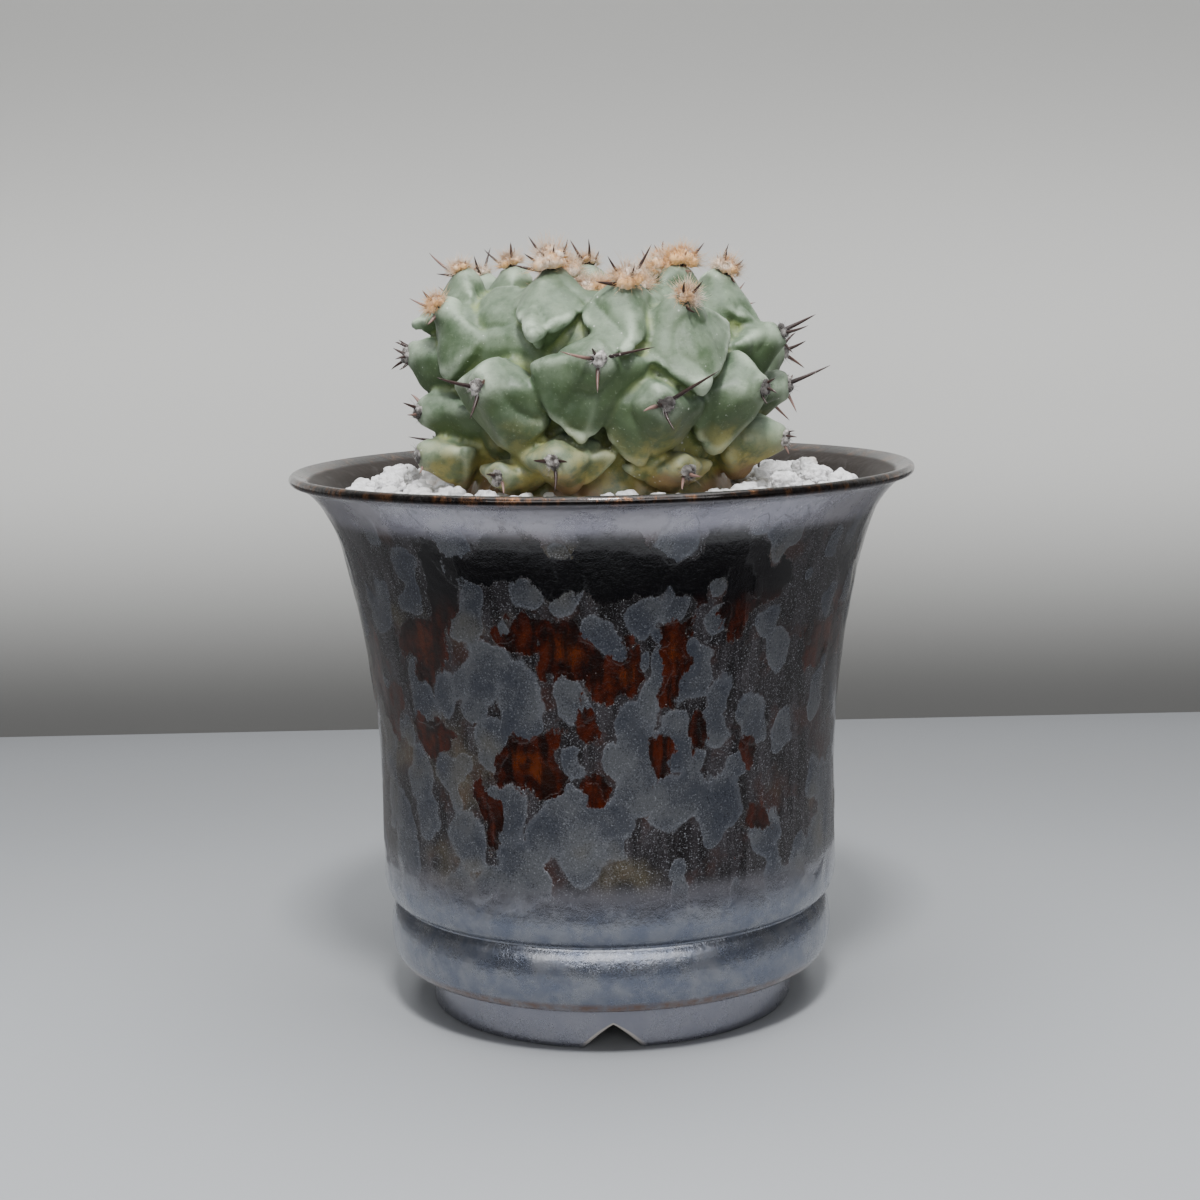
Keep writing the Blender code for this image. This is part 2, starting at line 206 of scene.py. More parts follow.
def tinted(tree, value, low, high, a, b, most=1.0):
    # colour a while the value is at low, colour b (or most of it) once it is at high
    return mixColor(tree, remap(tree, value, low, high, 0.0, most), a, b)


def noiseNode(tree, point, scale, detail=4.0, roughness=0.55):
    made = add(tree, "ShaderNodeTexNoise", {"Vector": point, "Scale": scale, "Detail": detail,
                                            "Roughness": roughness})
    return made.outputs["Fac"]


def stretched(tree, point, scale):
    return add(tree, "ShaderNodeMapping", {"Vector": point, "Scale": scale}).outputs[0]


def attribute(tree, name):
    return add(tree, "ShaderNodeAttribute", attribute_name=name).outputs["Fac"]


def finishMaterial(tree, shader, color, roughness=None, height=None, depth=0.0002, strength=1.0,
                   metallic=None):
    tree.links.new(color, shader.inputs["Base Color"])
    if roughness is not None:
        tree.links.new(roughness, shader.inputs["Roughness"])
    if metallic is not None:
        tree.links.new(metallic, shader.inputs["Metallic"])
    if height is not None:
        bump = add(tree, "ShaderNodeBump", {"Height": height, "Distance": depth, "Strength": strength})
        tree.links.new(bump.outputs[0], shader.inputs["Normal"])


def makeGroup(name, inputs, outputs):
    group = bpy.data.node_groups.new(name, "ShaderNodeTree")
    for label, kind, value in inputs:
        socket = group.interface.new_socket(label, in_out="INPUT", socket_type=kind)
        socket.default_value = value
    for label, kind in outputs:
        group.interface.new_socket(label, in_out="OUTPUT", socket_type=kind)
    return group, group.nodes.new("NodeGroupInput"), group.nodes.new("NodeGroupOutput")


def placeGroup(tree, group, inputs):
    return add(tree, "ShaderNodeGroup", inputs, node_tree=group).outputs


def dusted(tree, color, point, scale, spread, dust, share=1.0):
    mask = placeGroup(tree, specks, {"Point": point, "Scale": scale, "Spread": spread})["Mask"]
    return mixColor(tree, times(tree, mask, share), color, dust)


def buildSpecks():
    # small scattered spots of dust and lime, used on skin, spines, glaze, soil and plastic
    group, given, out = makeGroup(
        "specks",
        [("Point", "NodeSocketVector", (0, 0, 0)), ("Scale", "NodeSocketFloat", 900.0),
         ("Spread", "NodeSocketFloat", 0.2)],
        [("Mask", "NodeSocketFloat")])
    cells = add(group, "ShaderNodeTexVoronoi", {"Vector": given.outputs["Point"],
                                                "Scale": given.outputs["Scale"]})
    patch = noiseNode(group, given.outputs["Point"], 130.0, 3.0)
    reach = times(group, given.outputs["Spread"], remap(group, patch, 0.45, 0.75))
    inside = minus(group, reach, cells.outputs["Distance"])
    group.links.new(times(group, inside, 9.0, True), out.inputs["Mask"])
    return group


def buildGrain():
    # mineral grain: colour variation and tiny pits, used on pumice, soil and dressing
    group, given, out = makeGroup(
        "grain",
        [("Point", "NodeSocketVector", (0, 0, 0)), ("Scale", "NodeSocketFloat", 700.0)],
        [("Tone", "NodeSocketFloat"), ("Height", "NodeSocketFloat")])
    coarse = noiseNode(group, given.outputs["Point"], given.outputs["Scale"], 6.0, 0.65)
    fineScale = times(group, given.outputs["Scale"], 2.6)
    pits = add(group, "ShaderNodeTexVoronoi", {"Vector": given.outputs["Point"], "Scale": fineScale})
    group.links.new(coarse, out.inputs["Tone"])
    pitted = times(group, pits.outputs["Distance"], 0.8)
    group.links.new(plus(group, coarse, pitted), out.inputs["Height"])
    return group


def makeStudio():
    world = bpy.data.worlds.new("softRoom")
    world.use_nodes = True
    background = world.node_tree.nodes["Background"]
    background.inputs["Color"].default_value = (0.93, 0.95, 1.0, 1)
    background.inputs["Strength"].default_value = studio["skyStrength"]
    bpy.context.scene.world = world

    reach = studio["roomReach"]
    behind = studio["wallBehind"]
    floor = newMesh("floor", [(-reach, -reach, 0), (reach, -reach, 0), (reach, reach, 0),
                              (-reach, reach, 0)], [(0, 1, 2, 3)], smooth=False)
    made, tree, shader, point = startMaterial("paleTable", Specular_IOR_Level=0.0)
    # painted shade: the floor is drawn half as bright toward the backdrop as at the front, with a little
    # noise
    tone = remap(tree, partOf(tree, point, "Y"), 0.26, -0.16)
    tone = plus(tree, tone, times(tree, noiseNode(tree, point, 9.0, 5.0), 0.06))
    color = mixColor(tree, tone, tuple(c * 0.5 for c in studio["floorColor"]), studio["floorColor"])
    finishMaterial(tree, shader, color)
    floor.data.materials.append(made)

    wall = newMesh("backdrop", [(-reach, behind, 0), (reach, behind, 0), (reach, behind, reach),
                                (-reach, behind, reach)], [(0, 1, 2, 3)], smooth=False)
    made, tree, shader, point = startMaterial("paleWall", 0.9)
    height = partOf(tree, point, "Z")
    # painted shade: the backdrop is drawn dark just above the floor and dimmer toward the top
    shade = times(tree, remap(tree, height, 0.002, 0.088, 0.17, 1.0),
                  remap(tree, height, 0.110, 0.230, 1.0, 0.50))
    color = mixColor(tree, shade, (0.0, 0.0, 0.0), studio["wallColor"])
    finishMaterial(tree, shader, color)
    # from behind, the backdrop is clear, so it never hides the pot
    side = add(tree, "ShaderNodeNewGeometry").outputs["Backfacing"]
    clear = add(tree, "ShaderNodeBsdfTransparent")
    both = add(tree, "ShaderNodeMixShader", {0: side})
    tree.links.new(shader.outputs[0], both.inputs[1])
    tree.links.new(clear.outputs[0], both.inputs[2])
    tree.links.new(both.outputs[0], tree.nodes["Material Output"].inputs["Surface"])
    wall.data.materials.append(made)
    wall.visible_shadow = False

    for name, first, last, shade in studio["cards"]:
        cardVerts = []
        steps = studio["cardSteps"]
        for i in range(steps + 1):
            angle = math.radians(-90 + first + (last - first) * i / steps)
            cardVerts += [(r * math.cos(angle), r * math.sin(angle), z) for r, z in studio["cardProfile"]]
        cardFaces = [(4 * i + k, 4 * i + k + 4, 4 * i + k + 5, 4 * i + k + 1)
                     for i in range(steps) for k in range(3)]
        card = newMesh(name, cardVerts, cardFaces, smooth=False)
        made, tree, shader, point = startMaterial(name, 1.0)
        darker = (shade * 0.8, shade * 0.8, shade * 0.85)
        tone = noiseNode(tree, point, 20.0)
        finishMaterial(tree, shader, mixColor(tree, tone, darker, (shade, shade, shade)))
        card.data.materials.append(made)
        card.visible_camera = False
        card.visible_diffuse = False
        card.visible_shadow = False
        card.visible_transmission = False

    for name, place, size, tall, power in studio["lights"]:
        data = bpy.data.lights.new(name, "AREA")
        data.shape = "RECTANGLE"
        data.size = size
        data.size_y = tall
        data.energy = power
        light = bpy.data.objects.new(name, data)
        light.location = place
        aim = Vector((0, 0, 0.09)) - Vector(place)
        light.rotation_euler = aim.to_track_quat("-Z", "Y").to_euler()
        light.visible_diffuse = name != "frontPanel"    # only for the long highlights on the glaze
        light.visible_glossy = name != "lowFront"       # only lifts the shadows
        bpy.context.scene.collection.objects.link(light)


makeCamera()
makeStudio()
specks = buildSpecks()
grain = buildGrain()
print("camera and studio ready")


# ---- pot

pot = {
    "height": 105 * mm,
    "rim": 60 * mm,
    "waist": 44.4 * mm,
    "bellReach": 9 * mm,
    "bellDepth": 55 * mm,
    "lipBend": 4.2 * mm,
    "lip": 2.0 * mm,
    "wall": 4 * mm,
    "floor": 5 * mm,
    "shoulder": 5 * mm,
    "groove": 21.5 * mm,
    "grooveDepth": 2.6 * mm,
    "bandReach": 1.0 * mm,
    "bandBottom": 9 * mm,
    "foot": 35.5 * mm,
    "footWidth": 6 * mm,
    "recess": 8 * mm,
    "drain": 7 * mm,
    "notches": 3,
    "notchWidth": 11.5 * mm,
    "notchHeight": 4.5 * mm,
    "around": 380,
    "step": 0.75 * mm,
    "hammerDepth": 0.22 * mm,
    "poolCount": 58,         # the ones listed below, then seeded ones round the back
    "dropCount": 430,
    "dropSize": (1.5, 4.4),
}

# heights at which the glaze changes, from none to full, and the height of the ledge
glazeZones = {
    "darkPools": (0.080, 0.087),
    "lipSheen": (0.0955, 0.0995),
    "lip": (0.1022, 0.1040),
    "wallFoot": (0.050, 0.040),
    "lowSheen": (0.0345, 0.0290),
    "slateReflection": (0.0335, 0.0275),
    "foot": (0.0098, 0.0070),
    "ledge": 0.0098,
}

# clear rust-red pools in the crystalline glaze: degrees from the front (+ to the right),
# height, half width and half height in millimetres
pools = [
    (-7, 75, 5.0, 6.4), (3, 73, 3.4, 4.6), (15, 75, 3.6, 7.2), (-21, 56, 5.6, 6.8), (-15, 53, 4.5, 3.2),
    (-28, 45, 2.6, 5.6), (12, 57, 2.8, 5.8), (33, 57, 1.8, 3.4), (-4, 51, 2.6, 3.4), (22, 60, 2.2, 3.0),
    (-20, 79, 2.8, 3.0), (-6, 64, 2.2, 3.4), (-44, 74, 3.6, 6.0), (-46, 60, 4.2, 5.0), (38, 42, 3.0, 3.4),
    (-31, 91, 4.5, 4.0), (-20, 93, 6.5, 3.8), (-10, 89, 6.0, 4.0), (2, 91, 7.0, 4.4), (13, 90, 6.0, 4.0),
    (24, 92, 5.0, 4.5), (33, 89, 4.0, 5.0), (-36, 84, 2.6, 4.0), (27, 83, 2.4, 3.4),
]


def potOutside(z):
    down = max(0.0, pot["height"] - pot["lip"] / 2 - z)
    bell = pot["bellReach"] * max(0.0, 1 - down / pot["bellDepth"]) ** 1.6
    lipReach = pot["rim"] - pot["waist"] - pot["bellReach"]
    return pot["waist"] + bell + lipReach * math.exp(-down / pot["lipBend"])


def potInside(z):
    down = pot["height"] - z
    wall = pot["wall"] - (pot["wall"] - pot["lip"]) * math.exp(-down / (4 * pot["lipBend"]))
    slope = (potOutside(z + mm / 2) - potOutside(z - mm / 2)) / mm
    return potOutside(z) - wall * math.sqrt(1 + slope * slope)


def arc(centreR, centreZ, sizeR, sizeZ, start, end, steps):
    points = []
    for i in range(steps + 1):
        angle = math.radians(start + (end - start) * i / steps)
        points.append((centreR + sizeR * math.cos(angle), centreZ + sizeZ * math.sin(angle)))
    return points


def evenly(points, step):
    # the same line with a point about every step
    spaced = [points[0]]
    for (r0, z0), (r1, z1) in zip(points, points[1:]):
        count = max(1, round(math.hypot(r1 - r0, z1 - z0) / step))
        for i in range(1, count + 1):
            spaced.append((r0 + (r1 - r0) * i / count, z0 + (z1 - z0) * i / count))
    return spaced


def potProfile():
    top = pot["height"]
    shoulderTop = pot["groove"] + pot["shoulder"]
    grooveR = pot["waist"] - pot["grooveDepth"]
    bandR = pot["waist"] - pot["bandReach"]
    middle = (pot["groove"] + pot["bandBottom"]) / 2
    half = (pot["groove"] - pot["bandBottom"]) / 2
    lip = pot["lip"] / 2
    lipStart = 1.2 * pot["lip"]
    outer = arc(pot["rim"] - lip, top - lip, lip, lip, 90, -60, 8)
    count = int((top - lipStart - shoulderTop - 5 * mm) / mm)
    outer += [(potOutside(top - lipStart - i * mm), top - lipStart - i * mm) for i in range(count)]
    outer += arc(grooveR, shoulderTop, pot["waist"] - grooveR, pot["shoulder"], 0, -90, 10)
    outer += arc(grooveR - mm, middle, bandR - grooveR + mm, half, 65, -78, 16)
    outer += [(pot["foot"] + 1.6 * mm, pot["bandBottom"] - 0.25 * mm),
              (pot["foot"] + 0.6 * mm, pot["bandBottom"] - 0.8 * mm),
              (pot["foot"], pot["bandBottom"] - 2 * mm)]
    outer += arc(pot["foot"] - mm, mm, mm, mm, 0, -90, 4)
    inner = pot["foot"] - pot["footWidth"]
    base = [(inner + 0.5 * mm, 0), (inner, 0.5 * mm), (inner, pot["recess"] - mm),
            (inner - mm, pot["recess"]), (pot["drain"] + 0.5 * mm, pot["recess"]),
            (pot["drain"], pot["recess"] + 0.5 * mm)]
    floorTop = pot["recess"] + pot["floor"]
    base += [(pot["drain"], floorTop - 0.5 * mm), (pot["drain"] + 0.5 * mm, floorTop)]
    corner = 6 * mm
    wallFoot = potInside(floorTop + corner)
    inside = arc(wallFoot - corner, floorTop + corner, corner, corner, -90, 0, 6)
    z = floorTop + corner + 2 * mm
    while z < top - lipStart:
        inside.append((potInside(z), z))
        z += mm if z > 0.09 else 3 * mm
    inside.append((potInside(top - lipStart), top - lipStart))
    return evenly(outer, pot["step"]), evenly(base, 1.6 * mm) + inside


def notchLift(degrees, z):
    # how far a point near the ground is raised by the drainage notches
    lift = 0.0
    for i in range(pot["notches"]):
        away = (degrees + 90 - i * 360 / pot["notches"] + 180) % 360 - 180
        across = abs(math.radians(away)) * pot["foot"] / (pot["notchWidth"] / 2)
        if across < 1.25:
            arch = max(0.0, 1 - (across / 0.98) ** 1.15)
            lift = max(lift, arch * pot["notchHeight"])
    reach = 7.5 * mm
    return z if z > reach else z + lift * (1 - z / reach)


def glazeFields(places):
    # how clear (not crystalline) the glaze is, and its relief, for points on the outside
    picker = random.Random(3)
    placed = list(pools)
    while len(placed) < pot["poolCount"]:
        degrees = picker.uniform(55, 305)
        placed.append((degrees, picker.uniform(34, 98), picker.uniform(2.5, 6), picker.uniform(3, 9)))
    angle = np.degrees(np.arctan2(places[:, 0], -places[:, 1]))
    radius = np.hypot(places[:, 0], places[:, 1]) / mm
    z = places[:, 2] / mm
    wander = np.array([drift(Vector(p) * 130)[:] for p in places])
    ripple = np.array([drift(Vector(p) * 330)[:] for p in places])
    angle = angle + 3.2 * wander[:, 0] + 1.3 * ripple[:, 0]
    z = z + 2.6 * wander[:, 1] + 1.1 * ripple[:, 1]
    clear = np.full(len(places), -1.0)
    for degrees, high, halfWidth, halfHeight in placed:
        across = np.radians((angle - degrees + 180) % 360 - 180) * radius / halfWidth
        along = (z - high) / halfHeight
        clear = np.maximum(clear, 1.25 - np.sqrt(across ** 2 + along ** 2))
    blobs = np.full(len(places), -1.0)
    for number in range(pot["dropCount"]):
        degrees = picker.uniform(-180, 180)
        high = picker.uniform(26, 101)
        size = picker.uniform(*pot["dropSize"]) * (1.25 - high / 240)
        across = np.radians((angle - degrees + 180) % 360 - 180) * radius / size
        along = (z - high) / size
        along = np.where(along > 0, along * 0.62, along * 0.95)
        blobs = np.maximum(blobs, 1 - np.sqrt(across ** 2 + along ** 2))
    return clear, blobs


def makePot():
    outer, rest = potProfile()
    profile = outer + rest
    around = pot["around"]
    turns = [2 * math.pi * i / around for i in range(around)]
    places = np.array([(r * math.cos(t), r * math.sin(t), notchLift(math.degrees(t), z))
                       for r, z in profile for t in turns])
    outside = np.repeat(np.arange(len(profile)) < len(outer), around)
    clear, blobs = glazeFields(places)
    radius = np.hypot(places[:, 0], places[:, 1])
    z = places[:, 2]
    aboveGroove = np.clip((z - 24 * mm) / (4 * mm), 0, 1)
    belowLip = np.clip((pot["height"] - 3 * mm - z) / (6 * mm), 0, 1)
    wallPart = aboveGroove * belowLip
    relief = np.zeros(len(places))
    for index in np.nonzero(outside)[0]:
        p = Vector(places[index])
        slow = noise.noise(Vector((p.x * 55, p.y * 55, p.z * 30)))
        quick = noise.noise(Vector((p.x * 150, p.y * 150, p.z * 85)) + Vector((3, 1, 7)))
        tiny = noise.noise(p * 420)
        relief[index] = 0.55 * slow + 0.45 * quick + 0.10 * tiny
    lumps = np.clip(blobs, 0, 0.5) * 1.1 - np.clip(clear, 0, 0.4) * 0.7
    push = outside * (wallPart * (relief + lumps) + 0.16 * relief) * pot["hammerDepth"]
    places[:, 0] *= 1 + push / radius
    places[:, 1] *= 1 + push / radius
    faces = []
    rings = len(profile)
    for ring in range(rings):
        following = (ring + 1) % rings
        for i in range(around):
            j = (i + 1) % around
            faces.append((ring * around + j, ring * around + i, following * around + i,
                          following * around + j))
    shell = newMesh("glazedPot", places, faces)
    onFoot = [abs(r - pot["foot"]) < 2 * mm and z < 1.4 * mm for r, z in profile]
    low = np.repeat(np.array(onFoot), around)
    fromNotch = (np.degrees(np.arctan2(places[:, 1], places[:, 0])) + 90 + 60) % 120 - 60
    worn = low * np.clip(1.5 - np.abs(fromNotch) / 8.5, 0, 1)
    storeValues(shell.data, {"clear": clear * outside, "blobs": blobs, "outside": outside, "worn": worn})
    return shell


def glazeMaterial():
    made, tree, shader, point = startMaterial("hareFurGlaze", Coat_Roughness=0.06)
    height = partOf(tree, point, "Z")
    wobble = noiseNode(tree, stretched(tree, point, (1.0, 1.0, 0.6)), 330.0, 6.0, 0.7)
    patches = noiseNode(tree, point, 95.0, 5.0, 0.6)
    crystals = noiseNode(tree, point, 3300.0, 3.0, 0.65)
    runs = noiseNode(tree, stretched(tree, point, (1.0, 1.0, 0.16)), 420.0, 5.0, 0.6)

    # where the glaze stayed clear, with ragged edges
    clear = attribute(tree, "clear")
    blobs = attribute(tree, "blobs")
    ragged = times(tree, minus(tree, wobble, 0.5), 2.5)
    opening = plus(tree, clear, ragged)
    opening = minus(tree, opening, times(tree, blobs, 0.75))
    clearMask = remap(tree, opening, 0.12, 0.24)
    rust = tinted(tree, wobble, 0.35, 0.65, (0.006, 0.0010, 0.0006), (0.046, 0.0062, 0.0010))
    amber = tinted(tree, opening, 0.75, 1.8, rust, (0.078, 0.0145, 0.0014))
    amber = tinted(tree, runs, 0.54, 0.40, amber, (0.0045, 0.0015, 0.001), 0.85)
    amber = tinted(tree, height, *glazeZones["darkPools"], amber, (0.0022, 0.002, 0.003))

    # crystalline grey: round drops with paler rims, darker glaze between them
    drop = plus(tree, blobs, times(tree, ragged, 0.30))
    within = remap(tree, drop, 0.02, 0.16)
    rim = times(tree, within, remap(tree, drop, 0.34, 0.14))
    between = tinted(tree, runs, 0.35, 0.7, (0.005, 0.0035, 0.004), (0.034, 0.030, 0.034))
    between = tinted(tree, patches, 0.52, 0.66, between, (0.030, 0.0065, 0.0025), 0.8)
    # pale silver of the even glaze: partly its own satin colour, partly a painted highlight for the bright
    # reflection under the lip; toward the groove it is drawn dark grey instead
    silverHighlight = tinted(tree, patches, 0.35, 0.65, (0.380, 0.370, 0.445), (0.540, 0.525, 0.580))
    nearGroove = remap(tree, height, *glazeZones["wallFoot"], 0.0, 0.85)
    silverHighlight = mixColor(tree, nearGroove, silverHighlight, (0.150, 0.150, 0.170))
    body = tinted(tree, patches, 0.35, 0.65, (0.056, 0.062, 0.080), (0.108, 0.113, 0.124))
    grey = mixColor(tree, within, between, body)
    grey = mixColor(tree, times(tree, rim, 0.22), grey, (0.22, 0.23, 0.26))
    warm = remap(tree, noiseNode(tree, point, 46.0, 3.0), 0.56, 0.70, 0.0, 0.35)
    grey = mixColor(tree, warm, grey, (0.150, 0.125, 0.070))
    sparkle = times(tree, remap(tree, crystals, 0.56, 0.70), 0.45)
    grey = mixColor(tree, sparkle, grey, (0.42, 0.44, 0.48))
    grey = tinted(tree, crystals, 0.44, 0.30, grey, (0.012, 0.012, 0.014), 0.75)
    # near the lip and above the groove the crystals run together; there the glaze is drawn in the pale silver
    # above, which is partly a painted highlight
    even = larger(tree, remap(tree, height, *glazeZones["lipSheen"]),
                  remap(tree, height, *glazeZones["lowSheen"]))
    even = times(tree, even, remap(tree, wobble, 0.30, 0.50, 0.55, 1.0))
    clearMask = times(tree, clearMask, minus(tree, 1.0, even))
    grey = mixColor(tree, times(tree, even, 0.85), grey, silverHighlight)
    color = mixColor(tree, clearMask, grey, amber)

    # slate blue band, a painted reflection of the pale floor; brown where the glaze breaks on an edge, bare
    # worn foot
    lowWall = remap(tree, plus(tree, height, times(tree, wobble, 0.004)), *glazeZones["slateReflection"])
    mottle = noiseNode(tree, point, 240.0, 5.0, 0.65)
    slateReflection = tinted(tree, mottle, 0.32, 0.68, (0.140, 0.160, 0.215), (0.235, 0.245, 0.275))
    color = mixColor(tree, lowWall, color, mixColor(tree, times(tree, sparkle, 0.4), slateReflection,
                                                    (0.36, 0.37, 0.40)))
    # pale lavender grey foot: partly the glaze's own colour, partly a painted highlight
    color = tinted(tree, height, *glazeZones["foot"], color, (0.330, 0.325, 0.370), 0.65)
    fromLedge = mathNode(tree, "ABSOLUTE", minus(tree, height, glazeZones["ledge"]))
    ledge = remap(tree, fromLedge, 0.0016, 0.0005)
    ledge = times(tree, ledge, remap(tree, wobble, 0.35, 0.6, 0.3, 0.9))
    color = mixColor(tree, ledge, color, (0.090, 0.036, 0.014))
    lip = remap(tree, height, *glazeZones["lip"])
    lipColor = tinted(tree, wobble, 0.48, 0.70, (0.014, 0.011, 0.010), (0.20, 0.085, 0.030))
    color = mixColor(tree, lip, color, lipColor)
    inside = remap(tree, attribute(tree, "outside"), 0.6, 0.4)
    innerColor = mixColor(tree, wobble, (0.012, 0.009, 0.008), (0.060, 0.050, 0.044))
    color = mixColor(tree, inside, color, innerColor)
    worn = remap(tree, attribute(tree, "worn"), 0.25, 0.75)
    color = mixColor(tree, worn, color, (0.50, 0.46, 0.42))
    color = dusted(tree, color, point, 760.0, 0.11, (0.55, 0.55, 0.55), 0.35)

    solid = minus(tree, 1.0, larger(tree, clearMask, larger(tree, ledge, worn)))
    roughness = plus(tree, times(tree, solid, remap(tree, patches, 0.3, 0.7, 0.13, 0.25)),
                     times(tree, crystals, 0.16))
    rougher = times(tree, larger(tree, worn, inside), 0.4)
    roughness = plus(tree, roughness, rougher, True)
    crystalline = larger(tree, within, larger(tree, even, lowWall))
    metal = times(tree, times(tree, solid, crystalline),
                  remap(tree, larger(tree, even, lowWall), 0.0, 1.0, 0.50, 0.85))
    tree.links.new(minus(tree, 0.62, times(tree, inside, 0.5)), shader.inputs["Coat Weight"])
    bumps = plus(tree, times(tree, crystals, 0.22), wobble)
    bumps = plus(tree, bumps, times(tree, within, 0.30))
    bumps = plus(tree, bumps, times(tree, noiseNode(tree, point, 800.0, 3.0), 0.45))
    bumps = minus(tree, bumps, times(tree, clearMask, 0.6))
    finishMaterial(tree, shader, color, roughness, bumps, 0.00027, 0.75, metal)
    return made


potShell = makePot()
potShell.data.materials.append(glazeMaterial())
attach(potShell, "root")
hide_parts("pot")
print("pot:", len(potShell.data.polygons), "faces")


# ---- what fills the pot

def soilMaterial():
    made, tree, shader, point = startMaterial("grittySoil", 0.95)
    parts = placeGroup(tree, grain, {"Point": point, "Scale": 420.0})
    color = tinted(tree, parts["Tone"], 0.35, 0.65, (0.045, 0.028, 0.018), (0.20, 0.14, 0.095))
    color = dusted(tree, color, point, 300.0, 0.45, (0.5, 0.46, 0.4))
    finishMaterial(tree, shader, color, None, parts["Height"], 0.0008, 1.0)
    return made


def pumiceMaterial(name, low, high, depth):
    made, tree, shader, point = startMaterial(name, 0.92)
    parts = placeGroup(tree, grain, {"Point": point, "Scale": 620.0})
    color = tinted(tree, parts["Tone"], 0.3, 0.7, low, high)
    stain = remap(tree, noiseNode(tree, point, 90.0, 3.0), 0.58, 0.75, 0.0, 0.5)
    color = mixColor(tree, stain, color, (0.55, 0.44, 0.33))
    finishMaterial(tree, shader, color, None, parts["Height"], depth, 0.8)
    return made


def screenMaterial():
    made, tree, shader, point = startMaterial("meshPlastic", 0.55)
    tone = noiseNode(tree, point, 300.0, 4.0)
    color = mixColor(tree, tone, (0.015, 0.015, 0.016), (0.045, 0.045, 0.046))
    color = dusted(tree, color, point, 700.0, 0.3, (0.22, 0.17, 0.12))
    finishMaterial(tree, shader, color, None, tone, 0.0001, 0.5)
    return made


def dressCadNode(name, made):
    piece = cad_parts[name]
    piece.data.materials.clear()
    piece.data.materials.append(made)


stones = {
    "grains": 420,
    "grainSize": (1.1 * mm, 2.1 * mm),
    "inner": 27.5 * mm,
    "stoneReach": 2.9 * mm,
    "nearest": 0.82,         # of two radii, so neighbours nestle a little
    "tries": 12000,
    "floor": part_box("pumice_dressing")[1][2],
}


def rockShape(seed, level):
    # a broken, pitted lump about one unit in radius
    bm = bmesh.new()
    bmesh.ops.create_icosphere(bm, subdivisions=level, radius=1.0)
    shift = Vector((seed * 1.37, seed * 2.11, seed * 0.73))
    for vert in bm.verts:
        out = vert.co.normalized()
        size = 1 + 0.34 * noise.noise(out * 1.5 + shift) + 0.13 * noise.noise(out * 4.2 + shift)
        size += 0.07 * noise.noise(out * 10.0 + shift)
        vert.co = out * size
    bm.verts.ensure_lookup_table()
    verts = np.array([vert.co[:] for vert in bm.verts])
    faces = [[vert.index for vert in face.verts] for face in bm.faces]
    bm.free()
    return verts, faces


def makeStones(made):
    for number in range(1, 11):
        node = f"pumice_stone_{number:02d}"
        low, high = (np.array(corner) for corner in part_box(node))
        verts, faces = rockShape(number, 5)
        spanLow, spanHigh = verts.min(0), verts.max(0)
        verts = low + (verts - spanLow) / (spanHigh - spanLow) * (high - low)
        stone = newMesh(f"pumiceStone{number:02d}", verts, faces, made)
        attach(stone, "root")
        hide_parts(node)


def makeGrains(made):
    picker = random.Random(21)
    shapes = [rockShape(20 + i, 3) for i in range(9)]
    allVerts, allFaces, taken = [], [], []
    for number in range(1, 11):
        low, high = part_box(f"pumice_stone_{number:02d}")
        taken.append(((low[0] + high[0]) / 2, (low[1] + high[1]) / 2, stones["stoneReach"]))
    outerEdge = potInside(stones["floor"]) - 0.6 * mm
    tries = 0
    placed = 0
    while placed < stones["grains"] and tries < stones["tries"]:
        tries += 1
        size = picker.uniform(*stones["grainSize"])
        turn = picker.uniform(0, 2 * math.pi)
        away = math.sqrt(picker.uniform((stones["inner"] + size) ** 2, (outerEdge - size) ** 2))
        x, y = away * math.cos(turn), away * math.sin(turn)
        if any(math.hypot(x - a, y - b) < stones["nearest"] * (size + c) for a, b, c in taken):
            continue
        taken.append((x, y, size))
        verts, faces = picker.choice(shapes)
        spin = Matrix.Rotation(picker.uniform(0, 6.28), 3, Vector((picker.random(), picker.random(), 1)))
        turned = verts @ np.array(spin)
        turned = turned * size * np.array([1, 1, 0.85])
        lift = stones["floor"] - 0.2 * mm - turned[:, 2].min()
        base = sum(len(v) for v in allVerts)
        allVerts.append(turned + np.array([x, y, lift]))
        allFaces.extend([[index + base for index in face] for face in faces])
        placed += 1
    grains = newMesh("pumiceGrains", np.vstack(allVerts), allFaces, made)
    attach(grains, "root")
    print("pumice grains:", placed)


dressCadNode("soil", soilMaterial())
dressCadNode("drain_screen", screenMaterial())
dressCadNode("pumice_dressing", pumiceMaterial("fineGrit", (0.16, 0.13, 0.10), (0.62, 0.58, 0.52), 0.0008))
whitePumice = pumiceMaterial("whitePumice", (0.66, 0.65, 0.65), (0.92, 0.92, 0.94), 0.00025)
makeStones(whitePumice)
makeGrains(whitePumice)


# ---- plant

